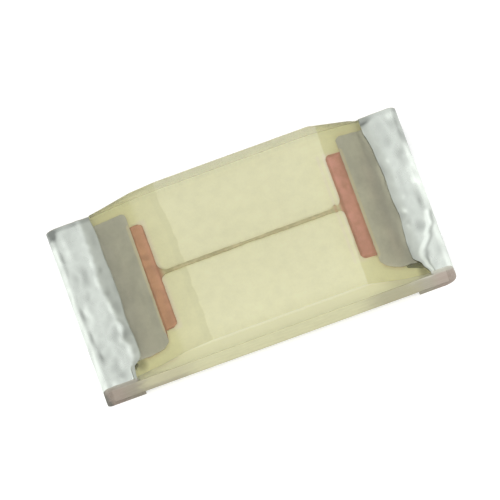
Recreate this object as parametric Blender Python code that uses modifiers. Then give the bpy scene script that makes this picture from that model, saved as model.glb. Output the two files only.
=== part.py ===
"""A surface-mount chip fuse of 3216 size: a glass-epoxy chip with a fine copper link under a clear resin cover.

Run it with blender --background --python part.py, or from Blender's text editor. Metres, +Z up. X runs from
end to end and Y across the chip. The origin is under the middle of the chip, on the plane of its solder lands.
"""

import math

import bmesh
import bpy
from mathutils import Matrix, Vector

MM = 0.001
LEFT, RIGHT = -1, 1
SIDE_NAMES = {LEFT: "left", RIGHT: "right"}

# The chip
LENGTH = 3.200 * MM
WIDTH = 1.600 * MM
LAMINATE_THICKNESS = 0.250 * MM

# The layers are bonded face to face. This is the gap that keeps their meshes apart.
LAYER_GAP = 0.004 * MM

# The copper foil on top, and the plated film on its pads
FOIL_THICKNESS = 0.018 * MM
FILM_THICKNESS = 0.006 * MM
LINK_LENGTH = 1.617 * MM
LINK_WIDTH = 0.032 * MM
LINK_FILLET = 0.050 * MM
BAR_WIDTH = 0.125 * MM
BAR_CORNER = 0.050 * MM
PAD_CORNER = 0.060 * MM
PAD_SIDE_MARGIN = 0.125 * MM
BAR_SETBACK = 0.150 * MM

# The foil's pattern and the bands lie a little off the chip's middle, because the chip was cut out off centre.
# The pads' side margin is what a chip cut out on centre would have between a pad and either of its long sides.
PATTERN_SHIFT_X = 0.044 * MM
PATTERN_SHIFT_Y = 0.040 * MM
BAND_SHIFT = 0.068 * MM

# The end caps: copper, and tin over it. The bands on top are this long on a chip cut out on centre. The right
# cap's lower corner is worn, so its radii are larger.
TOP_BAND = 0.352 * MM
LAND_LENGTH = 0.350 * MM
COPPER_ON_TOP = 0.018 * MM
COPPER_ON_END = 0.024 * MM
COPPER_ON_LAND = 0.036 * MM
COPPER_TOP_RADIUS = 0.030 * MM
COPPER_LAND_RADIUS = 0.020 * MM
WORN_COPPER_RADIUS = 0.080 * MM
TIN_ON_TOP = 0.014 * MM
TIN_ON_END = 0.040 * MM
TIN_ON_LAND = 0.012 * MM
TIN_TOP_RADIUS = 0.070 * MM
TIN_LAND_RADIUS = 0.040 * MM
WORN_TIN_RADIUS = 0.120 * MM
TIN_TIP_RADIUS = 0.008 * MM

# The cover, from its left edge to its right: a slope, a soft shoulder, the flat, a slope and a thin foot
COVER_HEIGHT = 0.279 * MM
LEFT_EDGE_HEIGHT = 0.080 * MM
LEFT_SLOPE = 0.365 * MM
SHOULDER = 0.255 * MM
SHOULDER_DROP = 0.038 * MM
RIGHT_SLOPE = 0.426 * MM
FOOT = 0.036 * MM
FOOT_HEIGHT = 0.050 * MM
SHOULDER_RADIUS = 0.300 * MM
RIGHT_BREAK_RADIUS = 0.030 * MM
COVER_EDGE_ROUND = 0.010 * MM

ARC_STEP = math.radians(12)
FLAT_ENOUGH = math.radians(1)
WELD = 0.0002 * MM
CUT_PAST = 0.050 * MM

# Heights of the layers, from the solder lands up
LAMINATE_BOTTOM = TIN_ON_LAND + LAYER_GAP + COPPER_ON_LAND + LAYER_GAP
LAMINATE_TOP = LAMINATE_BOTTOM + LAMINATE_THICKNESS
FOIL_BOTTOM = LAMINATE_TOP + LAYER_GAP
FOIL_TOP = FOIL_BOTTOM + FOIL_THICKNESS
FILM_BOTTOM = FOIL_TOP + LAYER_GAP
FILM_TOP = FILM_BOTTOM + FILM_THICKNESS
COPPER_TOP = FOIL_TOP + LAYER_GAP + COPPER_ON_TOP
TIN_TOP = COPPER_TOP + LAYER_GAP + TIN_ON_TOP
COVER_BOTTOM = LAMINATE_TOP + LAYER_GAP
COVER_TOP = LAMINATE_TOP + COVER_HEIGHT

# Distances in from the chip's end, and out from the pattern's middle
COPPER_INSET = TIN_ON_END + LAYER_GAP
LAMINATE_INSET = COPPER_INSET + COPPER_ON_END + LAYER_GAP
LAMINATE_HALF = LENGTH / 2 - LAMINATE_INSET
BAR_INNER = LINK_LENGTH / 2
BAR_OUTER = BAR_INNER + BAR_WIDTH
PAD_HALF = WIDTH / 2 - PAD_SIDE_MARGIN
BAR_HALF = PAD_HALF - BAR_SETBACK

# Materials: colour, roughness, metallic, alpha
LAMINATE_LOOK = ("laminate", (0.62, 0.60, 0.40), 0.45, 0.0, 1.0)
COPPER_LOOK = ("copper", (0.43, 0.22, 0.14), 0.40, 1.0, 1.0)
FILM_LOOK = ("plated_film", (0.33, 0.33, 0.27), 0.45, 1.0, 1.0)
TIN_LOOK = ("tin", (0.66, 0.68, 0.66), 0.35, 1.0, 1.0)
RESIN_LOOK = ("clear_resin", (0.74, 0.73, 0.42), 0.15, 0.0, 0.35)


def clear_scene():
    for obj in list(bpy.data.objects):
        bpy.data.objects.remove(obj)


def new_collection(name):
    made = bpy.data.collections.new(name)
    bpy.context.scene.collection.children.link(made)
    return made


def make_material(name, colour, roughness, metallic, alpha):
    made = bpy.data.materials.new(name)
    made.use_nodes = True
    shader = made.node_tree.nodes["Principled BSDF"]
    shader.inputs["Base Color"].default_value = (*colour, 1.0)
    shader.inputs["Roughness"].default_value = roughness
    shader.inputs["Metallic"].default_value = metallic
    shader.inputs["Alpha"].default_value = alpha
    return made


def band_inner_x(side):
    """Where an end's band stops on top of the chip."""
    return side * (LENGTH / 2 - TOP_BAND) + BAND_SHIFT


def land_radius(side, plain, worn):
    return worn if side == RIGHT else plain


def rounded(corners):
    """The outline through corners of (x, y, radius), with an arc at each corner that has a radius."""
    outline = []
    for index, (x, y, radius) in enumerate(corners):
        corner = Vector((x, y))
        before = Vector(corners[index - 1][:2]) - corner
        after = Vector(corners[(index + 1) % len(corners)][:2]) - corner
        half = before.angle(after) / 2
        reach = min(radius / math.tan(half), 0.45 * before.length, 0.45 * after.length)
        if reach <= 0:
            outline.append(corner)
            continue
        radius = reach * math.tan(half)
        centre = corner + (before.normalized() + after.normalized()).normalized() * (radius / math.sin(half))
        start = corner + before.normalized() * reach - centre
        turn = (corner + after.normalized() * reach - centre).angle_signed(start)
        steps = max(2, math.ceil(abs(turn) / ARC_STEP))
        for step in range(steps + 1):
            outline.append(centre + Matrix.Rotation(turn * step / steps, 2) @ start)
    return outline


def solid_mesh(name, outline, thickness):
    """A flat outline with a thickness, half of it to each side.

    The curve is drawn a thousand times up and its mesh brought back down, because Blender's fill of a curve
    merges points that lie closer than 0.03 mm.
    """
    curve = bpy.data.curves.new(name, "CURVE")
    curve.dimensions = "2D"
    curve.fill_mode = "BOTH"
    curve.extrude = thickness / MM / 2
    spline = curve.splines.new("POLY")
    spline.points.add(len(outline) - 1)
    for point, place in zip(spline.points, outline):
        point.co = (place.x / MM, place.y / MM, 0, 1)
    spline.use_cyclic_u = True
    guide = bpy.data.objects.new(name + "_outline", curve)
    bpy.context.scene.collection.objects.link(guide)
    mesh = bpy.data.meshes.new_from_object(guide.evaluated_get(bpy.context.evaluated_depsgraph_get()))
    bpy.data.objects.remove(guide)
    mesh.name = name
    shape = bmesh.new()
    shape.from_mesh(mesh)
    bmesh.ops.scale(shape, vec=(MM, MM, MM), verts=shape.verts)
    bmesh.ops.remove_doubles(shape, verts=shape.verts, dist=WELD)
    bmesh.ops.recalc_face_normals(shape, faces=shape.faces)
    bmesh.ops.dissolve_limit(shape, angle_limit=FLAT_ENOUGH, verts=shape.verts, edges=shape.edges)
    shape.to_mesh(mesh)
    shape.free()
    return mesh


def place(name, mesh, collection, look=None):
    obj = bpy.data.objects.new(name, mesh)
    collection.objects.link(obj)
    if look:
        mesh.materials.append(look)
    return obj


def plate(name, corners, bottom, top, collection, look=None):
    """A flat piece in the XY plane, from one height to another."""
    obj = place(name, solid_mesh(name, rounded(corners), top - bottom), collection, look)
    obj.location.z = (bottom + top) / 2
    return obj


def across_chip(name, corners, collection, look=None):
    """A section in the XZ plane, carried across the whole width of the chip."""
    mesh = solid_mesh(name, rounded(corners), WIDTH)
    mesh.transform(Matrix.Rotation(math.pi / 2, 4, "X"))
    return place(name, mesh, collection, look)


def box(name, low, high, collection, look=None):
    shape = bmesh.new()
    bmesh.ops.create_cube(shape, size=1)
    low, high = Vector(low), Vector(high)
    bmesh.ops.scale(shape, vec=high - low, verts=shape.verts)
    mesh = bpy.data.meshes.new(name)
    shape.to_mesh(mesh)
    shape.free()
    obj = place(name, mesh, collection, look)
    obj.location = (low + high) / 2
    return obj


def bar_and_link(side, grow):
    """Corners from the link's lower edge along a bar's inner side to its outer corner, all below the link."""
    inner = PATTERN_SHIFT_X + side * (BAR_INNER - grow)
    outer = PATTERN_SHIFT_X + side * (BAR_OUTER - grow)
    link_y = PATTERN_SHIFT_Y - LINK_WIDTH / 2 - grow
    bar_y = PATTERN_SHIFT_Y - BAR_HALF - grow
    pad_y = PATTERN_SHIFT_Y - PAD_HALF - grow
    return [
        (inner, link_y, LINK_FILLET - grow),
        (inner, bar_y, BAR_CORNER + grow),
        (outer, bar_y, 0),
        (outer, pad_y, PAD_CORNER + grow),
    ]


def mirrored_up(corners):
    """The same corners above the link, in the order that carries the outline on."""
    return [(x, 2 * PATTERN_SHIFT_Y - y, radius) for x, y, radius in reversed(corners)]


def element_corners():
    """The foil's outline, with an end strip as wide as the chip under each band."""
    outline = []
    for side in (RIGHT, LEFT):
        strip = [
            (band_inner_x(side), PATTERN_SHIFT_Y - PAD_HALF, 0),
            (band_inner_x(side), -WIDTH / 2, 0),
            (side * LAMINATE_HALF, -WIDTH / 2, 0),
            (side * LAMINATE_HALF, WIDTH / 2, 0),
            (band_inner_x(side), WIDTH / 2, 0),
            (band_inner_x(side), PATTERN_SHIFT_Y + PAD_HALF, 0),
        ]
        below = bar_and_link(side, 0)
        around = below + strip + mirrored_up(below)
        outline += around if side == RIGHT else around[::-1]
    return outline


def recess_corners():
    """The outline of the foil's recess in the cover, which runs out past both of the cover's edges."""
    outline = []
    for side in (RIGHT, LEFT):
        below = bar_and_link(side, LAYER_GAP)
        past = (band_inner_x(side) + side * CUT_PAST, below[-1][1], 0)
        around = below + [past]
        around += mirrored_up(around)
        outline += around if side == RIGHT else around[::-1]
    return outline


def wrap_corners(side, inset, walls, levels, reaches, outer_radii, inner_radii, tip_radius):
    """A C-shaped section round one end. walls, levels, reaches and radii give the top first, then the land."""
    top_wall, end_wall, land_wall = walls
    top, land = levels
    top_reach, land_reach = reaches
    end = side * (LENGTH / 2 - inset)
    wall = side * (LENGTH / 2 - inset - end_wall)
    return [
        (top_reach, top, tip_radius),
        (end, top, outer_radii[0]),
        (end, land, outer_radii[1]),
        (land_reach, land, 0),
        (land_reach, land + land_wall, 0),
        (wall, land + land_wall, inner_radii[1]),
        (wall, top - top_wall, inner_radii[0]),
        (top_reach, top - top_wall, 0),
    ]


def make_laminate(collection, look):
    half = Vector((LAMINATE_HALF, WIDTH / 2, 0))
    up = Vector((0, 0, 1))
    return box("laminate_base", LAMINATE_BOTTOM * up - half, LAMINATE_TOP * up + half, collection, look)


def make_pad_plating(side, collection, look):
    """The film on a pad, from the band's edge to the bar."""
    outer = band_inner_x(side) - side * LAYER_GAP
    inner = PATTERN_SHIFT_X + side * BAR_OUTER
    corners = [
        (outer, PATTERN_SHIFT_Y - PAD_HALF, 0),
        (inner, PATTERN_SHIFT_Y - PAD_HALF, PAD_CORNER),
        (inner, PATTERN_SHIFT_Y + PAD_HALF, PAD_CORNER),
        (outer, PATTERN_SHIFT_Y + PAD_HALF, 0),
    ]
    return plate("pad_plating_" + SIDE_NAMES[side], corners, FILM_BOTTOM, FILM_TOP, collection, look)


def make_end_copper(side, collection, look):
    corners = wrap_corners(
        side,
        COPPER_INSET,
        (COPPER_ON_TOP, COPPER_ON_END, COPPER_ON_LAND),
        (COPPER_TOP, TIN_ON_LAND + LAYER_GAP),
        (band_inner_x(side), side * (LENGTH / 2 - LAND_LENGTH)),
        (COPPER_TOP_RADIUS, land_radius(side, COPPER_LAND_RADIUS, WORN_COPPER_RADIUS)),
        (0, 0),
        0,
    )
    return across_chip("end_copper_" + SIDE_NAMES[side], corners, collection, look)


def make_end_tin(side, collection, look):
    corners = wrap_corners(
        side,
        0,
        (TIN_ON_TOP, TIN_ON_END, TIN_ON_LAND),
        (TIN_TOP, 0),
        (band_inner_x(side), side * (LENGTH / 2 - LAND_LENGTH)),
        (TIN_TOP_RADIUS, land_radius(side, TIN_LAND_RADIUS, WORN_TIN_RADIUS)),
        (
            COPPER_TOP_RADIUS + LAYER_GAP,
            land_radius(side, COPPER_LAND_RADIUS, WORN_COPPER_RADIUS) + LAYER_GAP,
        ),
        TIN_TIP_RADIUS,
    )
    return across_chip("end_tin_" + SIDE_NAMES[side], corners, collection, look)


def make_cover(collection, cutters, look):
    left = band_inner_x(LEFT) + LAYER_GAP
    right = band_inner_x(RIGHT) - LAYER_GAP
    foot = LAMINATE_TOP + FOOT_HEIGHT
    shoulder_x = left + LEFT_SLOPE
    cover = across_chip(
        "clear_cover",
        [
            (left, COVER_BOTTOM, 0),
            (right, COVER_BOTTOM, 0),
            (right, foot, 0),
            (right - FOOT, foot, RIGHT_BREAK_RADIUS),
            (right - FOOT - RIGHT_SLOPE, COVER_TOP, RIGHT_BREAK_RADIUS),
            (shoulder_x + SHOULDER, COVER_TOP, SHOULDER_RADIUS),
            (shoulder_x, COVER_TOP - SHOULDER_DROP, SHOULDER_RADIUS),
            (left, LAMINATE_TOP + LEFT_EDGE_HEIGHT, 0),
        ],
        collection,
        look,
    )
    soften = cover.modifiers.new("Soft edges", "BEVEL")
    soften.width = COVER_EDGE_ROUND
    soften.segments = 2
    soften.limit_method = "ANGLE"
    soften.angle_limit = math.radians(60)
    recess_floor = LAMINATE_TOP - CUT_PAST
    cut(cover, plate("foil_recess", recess_corners(), recess_floor, FOIL_TOP + LAYER_GAP, cutters))
    for side in (LEFT, RIGHT):
        name = SIDE_NAMES[side] + "_film_recess"
        cut(cover, box(name, *film_recess(side, recess_floor), cutters))
    return cover


def film_recess(side, floor):
    """Low and high corners of the recess over one pad's film, a little wider than the foil's recess below it."""
    clear = 2 * LAYER_GAP
    outer = band_inner_x(side) + side * CUT_PAST
    inner = PATTERN_SHIFT_X + side * (BAR_OUTER - clear)
    half = PAD_HALF + clear
    low = (min(outer, inner), PATTERN_SHIFT_Y - half, floor)
    high = (max(outer, inner), PATTERN_SHIFT_Y + half, FILM_TOP + LAYER_GAP)
    return low, high


def cut(obj, cutter):
    cutter.hide_render = True
    cutter.display_type = "WIRE"
    modifier = obj.modifiers.new("Cut " + cutter.name, "BOOLEAN")
    modifier.operation = "DIFFERENCE"
    modifier.object = cutter


def main():
    clear_scene()
    chip = new_collection("chip_fuse")
    cutters = new_collection("cutters")
    laminate = make_material(*LAMINATE_LOOK)
    copper = make_material(*COPPER_LOOK)
    film = make_material(*FILM_LOOK)
    tin = make_material(*TIN_LOOK)
    resin = make_material(*RESIN_LOOK)
    make_laminate(chip, laminate)
    plate("fuse_element", element_corners(), FOIL_BOTTOM, FOIL_TOP, chip, copper)
    for side in (LEFT, RIGHT):
        make_pad_plating(side, chip, film)
        make_end_copper(side, chip, copper)
        make_end_tin(side, chip, tin)
    make_cover(chip, cutters, resin)


main()
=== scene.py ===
# %% [markdown]
# # A chip fuse, 3.2 mm long
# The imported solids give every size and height. This script dresses them: it makes the crumpled tin caps, the
# etched copper element, the gray pads and the clear resin as finer meshes in the same places, and gives each
# one its finish. All sizes are millimetres times MM, because Blender's unit here is the metre.

# %% Load the frame
import math

import bmesh
import bpy
from mathutils import Matrix, Vector, noise


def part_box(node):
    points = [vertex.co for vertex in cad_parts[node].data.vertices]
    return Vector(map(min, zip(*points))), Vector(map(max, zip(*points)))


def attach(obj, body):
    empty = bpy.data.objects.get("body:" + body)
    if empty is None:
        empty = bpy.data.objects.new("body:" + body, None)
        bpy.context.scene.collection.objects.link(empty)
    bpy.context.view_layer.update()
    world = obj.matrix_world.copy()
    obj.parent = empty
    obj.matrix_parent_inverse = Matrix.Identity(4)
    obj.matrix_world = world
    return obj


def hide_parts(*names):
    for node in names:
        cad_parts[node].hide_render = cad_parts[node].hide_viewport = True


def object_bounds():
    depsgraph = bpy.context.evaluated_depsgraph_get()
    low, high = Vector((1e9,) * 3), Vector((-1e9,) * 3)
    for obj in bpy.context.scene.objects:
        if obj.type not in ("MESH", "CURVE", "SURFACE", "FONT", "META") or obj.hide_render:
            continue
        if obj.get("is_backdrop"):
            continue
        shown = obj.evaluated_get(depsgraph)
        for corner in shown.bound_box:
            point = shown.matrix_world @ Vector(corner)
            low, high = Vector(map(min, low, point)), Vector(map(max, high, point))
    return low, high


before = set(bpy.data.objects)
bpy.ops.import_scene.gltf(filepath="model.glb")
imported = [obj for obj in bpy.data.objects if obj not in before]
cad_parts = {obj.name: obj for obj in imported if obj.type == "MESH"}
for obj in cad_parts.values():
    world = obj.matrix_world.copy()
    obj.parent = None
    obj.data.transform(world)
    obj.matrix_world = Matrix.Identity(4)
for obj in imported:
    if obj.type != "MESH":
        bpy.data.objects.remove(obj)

MM = 0.001
cad_low, cad_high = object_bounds()
print("solids:", ", ".join(sorted(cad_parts)))

# %% [markdown]
# ## Where the layers lie
# A chip fuse is a stack. Reading each solid's box once gives the height of every layer, so the fine pieces
# below sit exactly where the plain ones do.

# %% Heights and ends
LEFT, RIGHT = -1, 1
SIDE_NAMES = {LEFT: "left", RIGHT: "right"}


def box_of(node_name):
    low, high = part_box(node_name)
    return Vector(low), Vector(high)


laminate_low, laminate_high = box_of("laminate_base")
foil_low, foil_high = box_of("fuse_element")
cover_low, cover_high = box_of("clear_cover")
film_low, film_high = box_of("pad_plating_left")
tin_low, tin_high = box_of("end_tin_left")
copper_low, copper_high = box_of("end_copper_left")

HALF_LENGTH = -tin_low.x
HALF_WIDTH = tin_high.y
LAYER_GAP = foil_low.z - laminate_high.z
COPPER_INSET = copper_low.x - tin_low.x
BAND_EDGE = {LEFT: cover_low.x - LAYER_GAP, RIGHT: cover_high.x + LAYER_GAP}
PATTERN_Y = (film_low.y + film_high.y) / 2
SEAM = 0.0005 * MM
print("chip", round(2 * HALF_LENGTH / MM, 3), "by", round(2 * HALF_WIDTH / MM, 3), "mm")
print("bands end at", [round(x / MM, 3) for x in BAND_EDGE.values()])
print("the pattern's middle is at y", round(PATTERN_Y / MM, 3))

# %% [markdown]
# ## The camera
# The chip is seen from above its long side, with a long lens, and the picture is rolled so that the chip
# runs up to the right. The three directions of the picture are worked out from the angles, and the camera's
# matrix is made from them, which is easier to check than three Euler angles.

# %% Camera
AZIMUTH = math.radians(1.0)
ELEVATION = math.radians(65.3)
ROLL = math.radians(19.0)
DISTANCE = 200 * MM
FRAME_WIDTH = 4.3066 * MM
SENSOR_WIDTH = 36.0
AIM_HEIGHT = 0.1825 * MM
AIM_RIGHT = -0.0125 * MM
AIM_UP = 0.0573 * MM

picture_side = Vector((math.cos(AZIMUTH), -math.sin(AZIMUTH), 0))
toward = Vector((
    -math.sin(AZIMUTH) * math.cos(ELEVATION),
    -math.cos(AZIMUTH) * math.cos(ELEVATION),
    math.sin(ELEVATION),
))
picture_rise = toward.cross(picture_side)
camera_right = picture_side * math.cos(ROLL) - picture_rise * math.sin(ROLL)
camera_up = picture_side * math.sin(ROLL) + picture_rise * math.cos(ROLL)

camera_data = bpy.data.cameras.new("camera")
camera_data.sensor_width = SENSOR_WIDTH
camera_data.lens = SENSOR_WIDTH * DISTANCE / FRAME_WIDTH
camera_data.clip_start = DISTANCE / 2
camera_data.clip_end = DISTANCE * 2
camera = bpy.data.objects.new("camera", camera_data)
bpy.context.scene.collection.objects.link(camera)
aim = Vector((0, 0, AIM_HEIGHT)) + camera_right * AIM_RIGHT + camera_up * AIM_UP
turn = Matrix((camera_right, camera_up, toward)).transposed()
camera.matrix_world = Matrix.Translation(aim + toward * DISTANCE) @ turn.to_4x4()
bpy.context.scene.camera = camera
bpy.context.scene.view_settings.view_transform = "Standard"
print("lens", round(camera_data.lens), "mm")

# %% [markdown]
# ## Node helpers
# A node tree is easier to read when a value and the node that makes it stand on one line. `node` adds a node
# and fills its sockets, either with a plain value or with another node's output. The rest are short names
# for the few nodes that every finish below needs, and each finds its tree from the sockets it is given.

# %% Node helpers
def tree_of(*values):
    """The node tree that the first of the values that is a socket belongs to."""
    return next(value for value in values if isinstance(value, bpy.types.NodeSocket)).id_data


def fill(made, sockets):
    """Gives a node's sockets their values, and a link where the value is another node's output."""
    for key, value in sockets.items():
        if isinstance(value, bpy.types.NodeSocket):
            tree_of(value).links.new(value, made.inputs[key])
        else:
            made.inputs[key].default_value = value


def node(tree, kind, sockets=None, **settings):
    made = tree.nodes.new(kind)
    for key, value in settings.items():
        setattr(made, key, value)
    fill(made, sockets or {})
    return made


def maths(operation, first, second=0.0, third=0.0):
    sockets = {0: first, 1: second, 2: third}
    return node(tree_of(first, second), "ShaderNodeMath", sockets, operation=operation).outputs[0]


def vector_maths(operation, sockets):
    return node(tree_of(sockets[0]), "ShaderNodeVectorMath", sockets, operation=operation).outputs


def times(first, second):
    return maths("MULTIPLY", first, second)


def minus(first, second):
    return maths("SUBTRACT", first, second)


def size_of(value):
    return maths("ABSOLUTE", value)


def inward(half, value):
    """How far a place lies in from the chip's end, or from its cut side."""
    return minus(half, size_of(value))


def nudged(base, value, amount):
    """base with amount times a changing value added to it."""
    return maths("MULTIPLY_ADD", value, amount, base)


def ramp(value, start, end, low=0.0, high=1.0):
    """low where value is at start, high where it is at end, and smooth between them."""
    sockets = {"Value": value, "From Min": start, "From Max": end, "To Min": low, "To Max": high}
    made = node(tree_of(value), "ShaderNodeMapRange", sockets, interpolation_type="SMOOTHSTEP")
    return made.outputs["Result"]


def by_side(x, left=0.0, right=1.0):
    """One value on the chip's left half and another on its right half."""
    return ramp(x, -0.1 * MM, 0.1 * MM, left, right)


def mix(factor, first, second):
    made = node(tree_of(factor), "ShaderNodeMix", data_type="RGBA", blend_type="MIX")
    for key, value in (("Factor_Float", factor), ("A_Color", first), ("B_Color", second)):
        socket = next(s for s in made.inputs if s.identifier == key)
        if isinstance(value, bpy.types.NodeSocket):
            tree_of(value).links.new(value, socket)
        else:
            socket.default_value = (*value, 1.0)
    return next(s for s in made.outputs if s.identifier == "Result_Color")


def painted(face, *coats):
    """A face with coats laid over it, each given as (mask, colour)."""
    for mask, colour in coats:
        face = mix(mask, face, colour)
    return face


def scaled(colour, gain):
    return vector_maths("SCALE", {0: colour, "Scale": gain})[0]


def stretched(place, along_x, along_y, along_z):
    """A place scaled so that one unit is a feature's size along each axis."""
    return vector_maths("MULTIPLY", {0: place, 1: (1 / along_x, 1 / along_y, 1 / along_z)})[0]


def cloud(place, size, detail=2.0, roughness=0.5):
    """Noise with features about size across."""
    sockets = {"Vector": place, "Scale": 1.0 / size, "Detail": detail, "Roughness": roughness}
    return node(tree_of(place), "ShaderNodeTexNoise", sockets).outputs["Fac"]


def new_material(name):
    made = bpy.data.materials.new(name)
    made.use_nodes = True
    tree = made.node_tree
    place = node(tree, "ShaderNodeTexCoord").outputs["Object"]
    return made, tree, tree.nodes["Principled BSDF"], place


def split(place):
    made = node(tree_of(place), "ShaderNodeSeparateXYZ", {"Vector": place})
    return made.outputs["X"], made.outputs["Y"], made.outputs["Z"]


def bump(shader, height, distance, strength=1.0):
    sockets = {"Height": height, "Distance": distance, "Strength": strength}
    fill(shader, {"Normal": node(tree_of(height), "ShaderNodeBump", sockets).outputs["Normal"]})


def new_group(name, inputs, outputs):
    """An empty shader group with its sockets, each given as (name, kind, default)."""
    made = bpy.data.node_groups.new(name, "ShaderNodeTree")
    for label, kind, default in inputs:
        socket = made.interface.new_socket(label, in_out="INPUT", socket_type="NodeSocket" + kind)
        if default is not None:
            socket.default_value = default
    for label, kind in outputs:
        made.interface.new_socket(label, in_out="OUTPUT", socket_type="NodeSocket" + kind)
    entry = made.nodes.new("NodeGroupInput")
    leave = made.nodes.new("NodeGroupOutput")
    return made, entry.outputs, leave.inputs


def use_group(group, **sockets):
    return node(tree_of(sockets["Place"]), "ShaderNodeGroup", node_tree=group, sockets=sockets).outputs


def tell(title, tree):
    print(title, len(tree.nodes), "nodes")


# %% [markdown]
# ## Light and floor
# The photograph is a catalogue picture: soft light from all round on pure white. So the world is plain
# white, at the strength where a colour renders as it is written. Two large, dim softboxes stand low at the
# two ends, so that the tin's rounded ends turn white, helped by a highlight painted into the tin, and a third
# stands in front for the laminate under its resin. The floor is pale and takes the shadow, and the camera
# sees a little extra white in it.

# %% World
WHITE = (1.0, 1.0, 1.0, 1.0)
world = bpy.data.worlds.new("studio")
bpy.context.scene.world = world
world.use_nodes = True
fill(world.node_tree.nodes["Background"], {"Color": WHITE, "Strength": 1.0})
print("world:", world.name)

# %% Softboxes
SOFTBOX_SIZE = 14 * MM
SOFTBOX_DISTANCE = 14 * MM
SOFTBOXES = {
    "left softbox": (Vector((-0.90, 0.22, 0.44)), 0.18),
    "right softbox": (Vector((0.94, 0.22, 0.34)), 0.18),
    "front softbox": (Vector((-0.15, -0.62, 0.78)), 1.00),
}
for name, (direction, radiance) in SOFTBOXES.items():
    lamp_data = bpy.data.lights.new(name, "AREA")
    lamp_data.shape = "SQUARE"
    lamp_data.size = SOFTBOX_SIZE
    lamp_data.energy = radiance * math.pi * SOFTBOX_SIZE ** 2
    lamp = bpy.data.objects.new(name, lamp_data)
    bpy.context.scene.collection.objects.link(lamp)
    lamp.location = direction.normalized() * SOFTBOX_DISTANCE
    lamp.rotation_euler = direction.to_track_quat("Z", "Y").to_euler()
    print(name, "radiance", radiance)

# %% Floor
FLOOR_HALF = 60 * MM
FLOOR_WHITE = 0.88
FLOOR_GLOW = 0.28
floor_shape = bmesh.new()
bmesh.ops.create_grid(floor_shape, x_segments=1, y_segments=1, size=FLOOR_HALF)
floor_mesh = bpy.data.meshes.new("floor")
floor_shape.to_mesh(floor_mesh)
floor_shape.free()
floor = bpy.data.objects.new("floor", floor_mesh)
bpy.context.scene.collection.objects.link(floor)
floor_paint, tree, shader, place = new_material("floor_paint")
seen_by_camera = node(tree, "ShaderNodeLightPath").outputs["Is Camera Ray"]
fill(shader, {
    "Base Color": (FLOOR_WHITE, FLOOR_WHITE, FLOOR_WHITE, 1.0),
    "Roughness": 1.0,
    "Specular IOR Level": 0.0,
    "Emission Color": WHITE,
    "Emission Strength": times(seen_by_camera, FLOOR_GLOW),
})
floor_mesh.materials.append(floor_paint)
floor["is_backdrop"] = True
print("floor", round(2 * FLOOR_HALF / MM), "mm wide")

# %% [markdown]
# ## Sections swept across the chip
# The caps and the cover have the same section all the way across the chip, because a whole panel is plated
# and coated before it is sawn into chips. So each is drawn as a closed section in the XZ plane, with arcs at
# its corners, and swept along Y with `bmesh.ops.spin` at no angle. The section carries one value to every
# copy of a point: whether it is on the outer side.

# %% Section helpers
ARC_STEP = math.radians(10)


def section(corners, spacing, outer_corners):
    """A closed row of (x, z, outer) through corners of (x, z, radius), no two further apart than spacing.

    The points up to the last of outer_corners count as the outer side.
    """
    rough = []
    for index, (x, z, radius) in enumerate(corners):
        outer = index < outer_corners
        corner = Vector((x, z))
        before = Vector(corners[index - 1][:2]) - corner
        after = Vector(corners[(index + 1) % len(corners)][:2]) - corner
        half = before.angle(after) / 2
        reach = min(radius / math.tan(half), 0.45 * before.length, 0.45 * after.length)
        if reach <= 0:
            rough.append((corner, outer))
            continue
        radius = reach * math.tan(half)
        centre = corner + (before.normalized() + after.normalized()).normalized() * (radius / math.sin(half))
        start = corner + before.normalized() * reach - centre
        angle = (corner + after.normalized() * reach - centre).angle_signed(start)
        steps = max(2, math.ceil(abs(angle) / ARC_STEP))
        for part in range(steps + 1):
            rough.append((centre + Matrix.Rotation(angle * part / steps, 2) @ start, outer))
    row = []
    for (point, outer), (following, _) in zip(rough, rough[1:] + rough[:1]):
        cuts = max(1, math.ceil((following - point).length / spacing))
        for cut in range(cuts):
            row.append((*point.lerp(following, cut / cuts), outer))
    return row


def sweep(row, y_start, y_end, steps):
    """A bmesh of the section carried from one y to another, closed at both ends."""
    shape = bmesh.new()
    outer_layer = shape.verts.layers.float.new("outer")
    ring = []
    for x, z, outer in row:
        vert = shape.verts.new((x, y_start, z))
        vert[outer_layer] = float(outer)
        ring.append(vert)
    edges = [shape.edges.new(pair) for pair in zip(ring, ring[1:] + ring[:1])]
    stride = (0, (y_end - y_start) / steps, 0)
    bmesh.ops.spin(shape, geom=edges, cent=(0, 0, 0), axis=(0, 1, 0), dvec=stride, angle=0, steps=steps)
    bmesh.ops.holes_fill(shape, edges=shape.edges, sides=0)
    bmesh.ops.recalc_face_normals(shape, faces=shape.faces)
    return shape, outer_layer


def plate(outline, low, high, edge):
    """A flat piece through points of (x, y), with its upper rim rounded and a flat field inside that."""
    shape = bmesh.new()
    face = shape.faces.new([shape.verts.new((x, y, low)) for x, y in outline])
    raised = bmesh.ops.extrude_face_region(shape, geom=[face])["geom"]
    lifted = [g for g in raised if isinstance(g, bmesh.types.BMVert)]
    bmesh.ops.translate(shape, vec=(0, 0, high - low), verts=lifted)
    rim = [e for e in shape.edges if all(v in lifted for v in e.verts)]
    bmesh.ops.bevel(shape, geom=rim, offset=edge, segments=2, profile=0.5, affect="EDGES", material=-1)
    bmesh.ops.recalc_face_normals(shape, faces=shape.faces)
    top = max((f for f in shape.faces if f.normal.z > 0.9), key=lambda f: f.calc_area())
    bmesh.ops.inset_region(shape, faces=[top], thickness=edge, use_even_offset=True)
    return shape


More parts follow.
